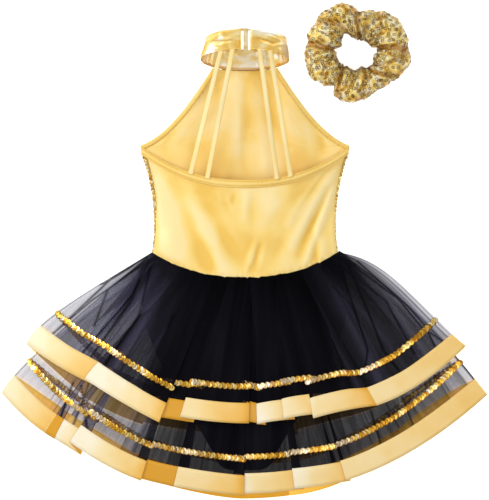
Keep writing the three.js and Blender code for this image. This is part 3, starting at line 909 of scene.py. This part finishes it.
def tulle_finish():
    """Black net. Each further layer that lies on it lets less light through. Its colour is painted: darker
    where more layers lie on it, and lighter and darker in streaks along its folds.
    """
    net = Finish("black_tulle", Roughness=0.85, Specular_IOR_Level=0.05)
    uv = net.uv()
    streaks = net.noise(net.stretched(uv, 60.0, 4.0, 1.0), 3.0, 5.0)
    mesh = node(net.tree, "TexVoronoi", {"Vector": uv, "Scale": 900.0}, feature="DISTANCE_TO_EDGE")
    threads = net.spread(mesh.outputs[0], 0.0, 0.5, -0.08, 0.05)
    gap = net.math("ADD", net.spread(streaks, 0.35, 0.75, 0.8, 0.68), threads)
    layers, crease = net.mark("layers"), net.mark("crease")
    # Painted shade and highlight: the colour darkens with the layers, and folds adds lighter and darker
    # streaks.
    folds = net.spread(net.noise(net.stretched(uv, 14.0, 0.8, 1.0), 3.0, 2.0), 0.3, 0.7, -0.14, 0.12)
    tone = net.ramp(
        net.math("MULTIPLY_ADD", layers, 0.1, folds), (0.1, "5A5872"), (0.24, "2E2C3A"), (0.34, "19181F"),
        (0.5, "0D0C12"), (0.62, "07060B"), (0.75, "020204"),
    )
    net.feed(net.mix(crease, tone, colour("050409")), "Base Color")
    clear = net.math("MULTIPLY", net.math("POWER", gap, layers), net.math("MULTIPLY_ADD", crease, -0.9, 1.0))
    net.feed(net.math("SUBTRACT", 1.0, clear, use_clamp=True), "Alpha")
    return net.material


def ribbon_finish(name, stops, roughness, through=0.0):
    """Satin ribbon with a painted sheen: painted pale where a stretch starts at a fold and deep gold towards
    its end and in the hollows. through is how much it glows, which is painted light.
    """
    ribbon = Finish(
        name, Roughness=roughness, Sheen_Weight=0.2, Specular_IOR_Level=0.4, Emission_Strength=through
    )
    uv = ribbon.uv()
    # run paints the ribbon's highlight and shade.
    shade = ribbon.math("MULTIPLY_ADD", ribbon.noise(uv, 22.0, 2.0), 0.42, ribbon.mark("run"))
    ribbon.feed(ribbon.ramp(shade, *stops), "Base Color", "Emission Color")
    ribs = node(ribbon.tree, "TexWave", {"Vector": uv, "Scale": 700.0}, bands_direction="X").outputs["Fac"]
    ribbon.bump(ribs, 0.08, 0.0002)
    return ribbon.material


def line_distance(place, line):
    """How far a place lies from a line of straight stretches."""
    least = 1e9
    for start, end in zip(line, line[1:]):
        a, way = Vector(start), Vector(end) - Vector(start)
        share = clamp((place - a).dot(way) / way.length_squared)
        least = min(least, (place - a - way * share).length)
    return least


TULLE = tulle_finish()
RIBBON = ribbon_finish(
    "gold_ribbon",
    ((0.22, "FFF4D8"), (0.36, "FBE4AC"), (0.56, "F8D282"), (0.78, "F2B94A"), (1.0, "E0A01C")), 0.4,
)
# The inside of the front ribbons glows a little: painted light that lifts them out of the shade under the
# net.
RIBBON_INSIDE = ribbon_finish(
    "gold_ribbon_inside", ((0.2, "F8CE58"), (0.6, "ECB638"), (1.0, "D69A18")), 0.45, 0.4
)


def ribbon_top(u):
    """How far the ribbon reaches up from the hem. At the sides it leans over a little."""
    return RIBBON_WIDTH * (1 - 0.15 * u**8)


def ribbon_shade(hem, t):
    """0 where the ribbon catches the light at a fold's start, up to 1 in the hollow of a fold."""
    i, low, high, start, end = hem.stretch(t)
    along = (t - low) / (high - low)
    last = i == len(hem.creases) - 1
    if end.x < start.x or (end.z < 0.15 and not last):
        return 0.85
    own = 0.06 * sin(i * 2.4) - (0.1 if i and start.x < -180 else 0)
    if last:
        return 0.26 + 0.1 * smooth(along)
    return 0.1 + own + 0.46 * along**1.3 + 0.14 * smooth(along, 0.85, 1.0)


def braid_spots(tier, hem, pitch):
    """Overlapping sequins along a trim, each leaning on the one before it, with a painted highlight where a
    fold starts.
    """
    chance = random.Random(len(tier) * 7)
    count = int(hem.length * 0.86 / pitch)
    lift = Vector((0, 0, 1.0))
    spots = []
    for number in range(count):
        t = (number + 0.5) / count
        here = tier_point(tier, hem, t, TRIM_HEIGHT) + lift
        way = tier_point(tier, hem, min(1, t + 0.0015), TRIM_HEIGHT) + lift - here
        way = (way if way.length > 1e-6 else Vector((1, 0, 0))).normalized()
        above = way.cross(Vector((0, 0, 1))).cross(way).normalized()
        lean = 0.2 + chance.uniform(-0.06, 0.06) + 0.22 * ripple(t * 26, 2.5, len(tier))
        aside = chance.uniform(-0.06, 0.06) + 0.22 * ripple(t * 18, 7.5, len(tier))
        facing = (above - way * lean + way.cross(above) * aside).normalized()
        heading = (way - facing * way.dot(facing)).normalized()
        here += way.cross(above) * (0.5 if number % 2 else -0.5)
        i, low, _, start, end = hem.stretch(t)
        # Painted highlight: glint brightens the sequins just past the fold that starts each stretch running
        # to the right.
        glint = (0.7 if end.x > start.x and i else 0.0) * bell((t - low) * hem.length, 17)
        spots.append((here, facing, heading, glint))
    return spots


for tier in ("upper_front", "lower_front", "lower_back", "upper_back"):
    hem = Hem(HEMS[tier])
    level, face = tier.split("_")
    length = TIER_LENGTH[level]
    crease_wide = 0.9 / hem.length

    steps = FULLNESS[level]
    lines = [(c, 1.0) for c in hem.crease_shares] + [((u + 1) / 2, 0.6) for u, _ in steps]

    def crease(t, v):
        folded = max(k * bell(t - c, crease_wide) for c, k in lines) * (1 - 0.5 * v)
        place = whole(t, v).to_2d()
        if face == "front" or abs(place.x) < 110:
            return folded
        near = min(line_distance(place, line) for line in NET_CREASES[level])
        return max(folded, bell(near, CREASE_WIDTH))

    def layers(t, v):
        u = 2 * t - 1
        folded = sum(more * smooth(u, edge - 0.006, edge + 0.006) for edge, more in steps)
        return 1 + folded + 0.9 * max(0.0, gathers(t, v, len(tier))) * v + 2.5 * v**4

    def whole(t, v):
        u = 2 * t - 1
        reach = (hem.at(t).to_2d() - Vector((WAIST_HALF * u, waist_y(u)))).length + 6
        return tier_point(tier, hem, t, lerp(ribbon_top(u) - 1, reach, v))

    def hemmed(t, v):
        return tier_point(tier, hem, t, ribbon_top(2 * t - 1) * v) + Vector((0, 0, 0.45))

    tulle = cloth(
        f"{level}_tulle_{face}_net", hem.columns(NET_COLUMNS, crease_wide), NET_ROWS[face], whole, TULLE,
        (hem.length, length), 0, {"crease": crease, "layers": layers},
    )
    sewn(tulle, "black_tulle", f"{level}_tulle_{face}")
    ribbon = cloth(
        f"{level}_ribbon_{face}_satin", hem.columns(RIBBON_COLUMNS, crease_wide), 6, hemmed,
        RIBBON if face == "back" else RIBBON_INSIDE, (hem.length, RIBBON_WIDTH), 0.3,
        {"run": lambda t, v: ribbon_shade(hem, t)},
    )
    sewn(ribbon, "gold_ribbon", f"{level}_ribbon_{face}")
    trim = sequins(
        f"{level}_sequin_trim_{face}_braid", braid_spots(tier, hem, TRIM_PITCH), TRIM_SEQUIN, SEQUIN_FILM
    )
    sewn(trim, "gold_sequins", f"{level}_sequin_trim_{face}")


# ---- The waist elastic
# A flat ribbed elastic, 10 mm wide, lies inside the top of the skirt and draws the waist in.


def elastic_point(turn, along):
    """turn goes once round the waist, along runs over the elastic's width."""
    angle = 2 * pi * turn
    up = min(1, max(-1, 4 * cos(angle)))
    u = 0.955 * sin(angle)
    y = waist_y(u) - FRONT_DROP * (1 - u * u) * (1 - up) / 2 - 1 - 10 * (1 - along)
    x = 113 * u
    low, high = 4.9, 6.4 + skirt_puff(x, y)
    rib = 0.12 * sin(angle * 260)
    return Vector((x, y, lerp(low, high, (1 + up) / 2) + rib))


ELASTIC = satin_finish("black_elastic", "1D1C21", "151418", "0E0D10", 0.85)
elastic = cloth("waist_elastic_band", 720, 6, elastic_point, ELASTIC, (452, 10), 0.7)
sewn(elastic, "elastic", "waist_elastic")


# ---- The collar
# A folded band of gold foil knit makes a ring round the neck. Each end goes round a bar of the clasp
# and back inside, where it is stitched, and the foil creases fan out from there.

COLLAR_CLOTH = 1.6
CLASP_X, CLASP_REACH = 1, 8.5
BAR_FOLD = 2.3  # from a bar's middle to the middle of the band that goes round it
COLLAR_TAIL = 9


def collar_path():
    """The band's middle line in the ring's frame, as (x, back), from one end of it to the other."""

    def fold(x, hand):
        middle = collar_bow(x) - BAR_FOLD
        path = [
            (x - hand * COLLAR_TAIL * s, collar_bow(x - hand * COLLAR_TAIL * s) - 2 * BAR_FOLD)
            for s in (1, 0.66, 0.33)
        ]
        for i in range(9):
            angle = -pi / 2 + pi * i / 8
            path.append((x + hand * BAR_FOLD * cos(angle), middle + BAR_FOLD * sin(angle)))
        return path

    hook_x, loop_x = CLASP_X - CLASP_REACH, CLASP_X + CLASP_REACH
    start, end = asin(-hook_x / COLLAR_HALF), 2 * pi - asin(loop_x / COLLAR_HALF)
    ring = []
    for i in range(1, 260):
        angle = lerp(start, end, i / 260)
        ring.append((-COLLAR_HALF * sin(angle), COLLAR_DEPTH * cos(angle)))
    return fold(hook_x, 1) + ring + fold(loop_x, -1)[::-1]


BAND_PATH = [Vector(p) for p in collar_path()]
FOIL_CREASES = [  # (from, to, width, height), along the band and up it, from the clasp's middle
    ((-8, 4), (-34, 10), 2.6, 1.1), ((-8, -2), (-40, 2), 2.4, -0.9), ((-8, -6), (-36, -9), 2.6, 1.2),
    ((-10, 10), (-26, 13), 2.0, 0.8), ((-20, -12), (-44, -4), 2.4, 0.9), ((10, 9), (40, 4), 2.6, 1.2),
    ((10, 3), (34, -4), 2.6, -1.0), ((10, -4), (30, -10), 2.8, 1.2), ((14, 12), (46, 11), 2.2, 0.9),
    ((26, -8), (50, 2), 2.4, 1.0), ((-50, 8), (-58, -10), 3, 1.0), ((52, 9), (60, -8), 3, 1.0),
]


def foil_point(u, v):
    i = min(len(BAND_PATH) - 2, int(u * (len(BAND_PATH) - 1)))
    share = u * (len(BAND_PATH) - 1) - i
    here = BAND_PATH[i].lerp(BAND_PATH[i + 1], share)
    way = (BAND_PATH[i + 1] - BAND_PATH[i]).normalized()
    out = Vector((way.y, -way.x))
    past_fold = min(i - 14, len(BAND_PATH) - 15 - i)  # points, from the fold round the nearer bar
    if out.dot(here) < 0 and past_fold > 0:
        out = -out
    up = lerp(-COLLAR_BAND / 2, COLLAR_BAND / 2, v)
    inside = smooth(min(v, 1 - v), 0, 0.12)
    back = smooth(here.y, -6, 8)
    lift = 0.0
    if past_fold > 0:
        turn = copysign(abs(atan2(here.x / COLLAR_HALF, here.y / COLLAR_DEPTH)), here.x)
        lift = back * fold_lift(turn * 42, up, FOIL_CREASES)
        rough = ripple(turn * 3, up * 0.09, 5)
        pleat = 0.45 * sin(turn * 26 + 2 * sin(turn * 9)) * (1 - back)
        lift = (lift + rough + pleat) * (0.25 + 0.75 * inside)
        lift *= smooth(past_fold, 0, 12)
    taper = 1 - (0.1 if here.x < 0 else 0.05) * smooth(v) * abs(here.x) / COLLAR_HALF
    return collar_point((here.x + out.x * lift) * taper, up, here.y + out.y * lift)


def foil_finish(name, *stops):
    """Gold foil knit: bright, slightly crinkled, with orange drifts where it is stretched, and painted shade
    in deep gold where side is high.
    """
    foil = Finish(name, Metallic=0.32, Roughness=0.24)
    uv = foil.uv()
    tone = foil.ramp(foil.noise(uv, 38.0, 3.0, Distortion=0.8), *stops)
    # side paints shade in deep gold.
    foil.feed(foil.mix(foil.mark("side"), tone, colour("C28A14")), "Base Color")
    foil.bump(foil.noise(uv, 240.0, 3.0), 0.25, 0.0006)
    return foil.material


def collar_painted_shade(u, v):
    """Painted shade: the gold is painted deeper where the ring turns away at the sides of the neck, in its
    creases, and along the lower edge of the front of the ring.
    """
    middle = foil_point(u, 0.5)
    turned = 0.65 * smooth(abs(middle.x) / COLLAR_HALF, 0.76, 0.97)
    if middle.z < COLLAR_Z:
        return max(turned, 0.8 * smooth(0.14 - v, 0, 0.08))
    up = lerp(-COLLAR_BAND / 2, COLLAR_BAND / 2, v)
    crease = fold_lift(asin(max(-1, min(1, middle.x / COLLAR_HALF))) * 42, up, FOIL_CREASES)
    return max(turned, 0.5 * smooth(-crease, 0.1, 0.7))


FOIL = foil_finish("gold_foil_knit", (0.3, "F0B648"), (0.42, "F8D070"), (0.52, "FEE9A8"), (0.62, "FFFEF4"))
collar = cloth(
    "collar_foil_band", 420, 24, foil_point, FOIL, (275, COLLAR_BAND), COLLAR_CLOTH, {"side": collar_painted_shade}
)
sewn(collar, "gold_foil", "collar_band")


# ---- The clasp
# A cast clasp in pale gold closes the collar at the nape: a hooked plate and a looped frame, each on
# a bar in its end of the band.


def clasp_finish():
    cast = Finish("pale_gold_cast", Metallic=0.3, Roughness=0.25)
    wear = cast.noise(node(cast.tree, "TexCoord").outputs["Object"], 160.0, 4.0)
    cast.feed(cast.ramp(wear, (0.35, "E3C67C"), (0.6, "F6E6B8")), "Base Color")
    cast.bump(wear, 0.08, 0.0002)
    return cast.material


CLASP = clasp_finish()
for name in ("clasp_hook", "clasp_loop"):
    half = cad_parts[name]
    half.material_slots[0].material = CLASP
    softened = half.modifiers.new("cast_edges", "BEVEL")
    softened.width = 0.25 * MM
    softened.segments = 2
    softened.limit_method = "ANGLE"


# ---- The straps
# Four narrow tubes of satin, turned and pressed flat, run from the back neckline up to the collar's
# lower edge. They are sewn in at both ends and sag a little between them.

STRAP_WIDTH = 6
STRAP_SAG = 4
STRAP_TOPS = (-30, -15.5, 18.3, 31.5)
STRAP_FEET = (-68, -47, 40, 57)


def strap_point(index, u, v):
    """u goes once round the strap's flat section, v runs from its foot to the collar."""
    angle = 2 * pi * u
    across, thick = cos(angle), sin(angle)
    across = copysign(abs(across) ** 0.6, across)
    twist = 0.22 * sin(v * 5 + index * 1.7) * sin(pi * v)
    foot_x = STRAP_FEET[index] + across * STRAP_WIDTH / 2
    foot_y = neck_y(foot_x) - 2
    foot = Vector((foot_x, foot_y, back_height(foot_x / CHEST_HALF, foot_x, foot_y) + 2.6))
    top = rim(STRAP_TOPS[index] + across * STRAP_WIDTH / 2, 1) + Vector((0, 1, -0.4))
    point = foot.lerp(top, v)
    point.z += thick * (0.75 + 0.2 * sin(v * 31 + index)) - STRAP_SAG * sin(pi * v)
    point.z += across * twist * STRAP_WIDTH / 2
    return point


STRAP = satin_finish("strap_satin", "FFEDB4", "FDE092", "F8D478", 0.4)
for index in range(4):
    # Its fold mark paints a highlight on each strap's flat faces and shade along its folded edges.
    strap = cloth(
        f"back_strap_{index + 1}_satin", 16, 48,
        lambda u, v: strap_point(index, u, v), STRAP, (12, 160), 0,
        {"fold": lambda u, v: 3.0 * sin(2 * pi * u) ** 2 - 1.8},
    )
    sewn(strap, "gold_satin", f"back_strap_{index + 1}")


# ---- The scrunchie
# A tube of the sequined knit is gathered over a ring of elastic and closed along the seam that faces
# its hole. The gathers make deep folds across it, and lobes round its outside.

SCRUNCHIE_LOW, SCRUNCHIE_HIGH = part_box("scrunchie_cover")
SCRUNCHIE_CENTRE = (SCRUNCHIE_LOW + SCRUNCHIE_HIGH) / 2 / MM
SCRUNCHIE_TUBE = 20.5
COVER_CUT = (350, 128)  # the cover's length when it is gathered, and the cloth round the tube
COVER_SPACING = 4.3
COVER_SEQUIN = (2.0, 0.8, 0.3)
# The gathered outline: how far its outside and its hole reach from the middle, by the angle in degrees
OUTSIDE = [
    (-165, 67), (-150, 67), (-138, 61), (-126, 53), (-116, 66), (-95, 64), (-62, 55), (-43, 56), (-25, 65),
    (-10, 67), (5, 65), (20, 65), (38, 65), (54, 62), (68, 56), (88, 51), (98, 61), (112, 66), (130, 67),
    (163, 67),
]
HOLE = [
    (-155, 27), (-132, 22), (-107, 24), (-79, 18), (-41, 23), (-14, 20), (5, 24), (20, 17), (50, 17),
    (86, 13), (112, 19), (128, 29), (142, 25), (158, 22), (176, 27),
]
# Deep folds across the tube: (angle, width, depth, slant)
TUCKS = [
    (90, 5, 5.0, 0.12), (172, 3.5, 7.0, -0.05), (-124, 4, 7.0, 0.2), (-78, 4, 3.4, -0.2), (-44, 4, 5.0, 0.3),
    (7, 3.5, 6.0, -0.1), (44, 3, 2.6, 0.4), (66, 4, 2.0, -0.35), (131, 4, 4.0, 0.3), (-152, 3, 2.2, 0.4),
    (-17, 3, 3.6, 0.5), (-104, 3, 2.4, -0.4),
]


def outline_reach(outline, angle):
    """How far a closed outline reaches at an angle, eased from each of its points to the next."""
    ring = [(outline[-1][0] - 360, outline[-1][1])] + outline + [(outline[0][0] + 360, outline[0][1])]
    for (a, near), (b, far) in zip(ring, ring[1:]):
        if a <= angle <= b:
            return lerp(near, far, smooth(angle, a, b))
    return ring[0][1]


def tuck_depth(angle, outward):
    """How deep the folds are at an angle, from the hole, where outward is -1, to the outside."""
    depth = 0.0
    for at, width, deep, slant in TUCKS:
        away = (angle - at - slant * 50 * outward + 180) % 360 - 180
        depth += 1.25 * deep * bell(away, 1.3 * width)
    return depth


# Painted shade for the deep folds, which the knit reads as tuck.
def painted_tuck_shade(u, v):
    angle = (360 * u + 180) % 360 - 180
    return min(0.6, tuck_depth(angle, -cos(2 * pi * v)) / 11)


def scrunchie_point(u, v):
    """u goes round the ring, v round the tube from its seam."""
    turn = 2 * pi * u
    angle = (degrees(turn) + 180) % 360 - 180
    around = 2 * pi * v
    outward, upward = -cos(around), -sin(around)
    outside, hole = outline_reach(OUTSIDE, angle), outline_reach(HOLE, angle)
    tuck = tuck_depth(angle, outward)
    lumps = 3.4 * ripple(cos(turn) * 5, sin(turn) * 5, around * 0.9)
    crimps = 0.5 * sin(turn * 40 + 3 * sin(turn * 7) + outward) * (0.7 - 0.6 * outward)
    pinch = tuck * (0.55 if outward > 0 else 0.75)
    ring = (outside + hole) / 2 + ((outside - hole) / 2 - 1 - pinch * 0.5 + lumps * 0.6) * outward
    high = min(SCRUNCHIE_TUBE - 0.6, SCRUNCHIE_TUBE - 2.5 - tuck + lumps + crimps)
    square = copysign(abs(upward) ** 0.8, upward)
    x, y = ring * cos(turn), ring * sin(turn)
    return Vector((SCRUNCHIE_CENTRE.x + x, SCRUNCHIE_CENTRE.y + y, SCRUNCHIE_CENTRE.z + high * square))


cover = cloth(
    "scrunchie_cover_knit", 480, 80, scrunchie_point, GOLD_KNIT, (600, COVER_CUT[1]), 0, {"tuck": painted_tuck_shade}
)
sewn(cover, "gold_sequins", "scrunchie_cover", body="scrunchie")
# The scrunchie's sequins: painted dark shade at each rim and a painted white highlight in the dish.
PAINTED_RIM_FILM = gold_sequin_finish(
    "painted_rim_shade_film", 0.25, (0, "2E2008"), (0.45, "54401A"), (0.6, "FFF8E0"), (1, "FFFFFF")
)
cover_sequins = sequins(
    "scrunchie_sequins",
    scattered(scrunchie_point, *COVER_CUT, COVER_SPACING, seed=11, loose=0.7, missing=0.25),
    COVER_SEQUIN, PAINTED_RIM_FILM,
)
sewn(cover_sequins, "gold_sequins", body="scrunchie")


def ring_elastic_point(u, v):
    """A braided band inside the cover, along its seam."""
    turn = 2 * pi * u
    radius = 36 + 0.25 * sin(turn * 120)
    x, y = radius * cos(turn), radius * sin(turn)
    return Vector((SCRUNCHIE_CENTRE.x + x, SCRUNCHIE_CENTRE.y + y, SCRUNCHIE_CENTRE.z + lerp(-4, 4, v)))


ring_elastic = cloth("scrunchie_elastic_band", 480, 4, ring_elastic_point, ELASTIC, (180, 8), 0.8)
sewn(ring_elastic, "elastic", "scrunchie_elastic", body="scrunchie")
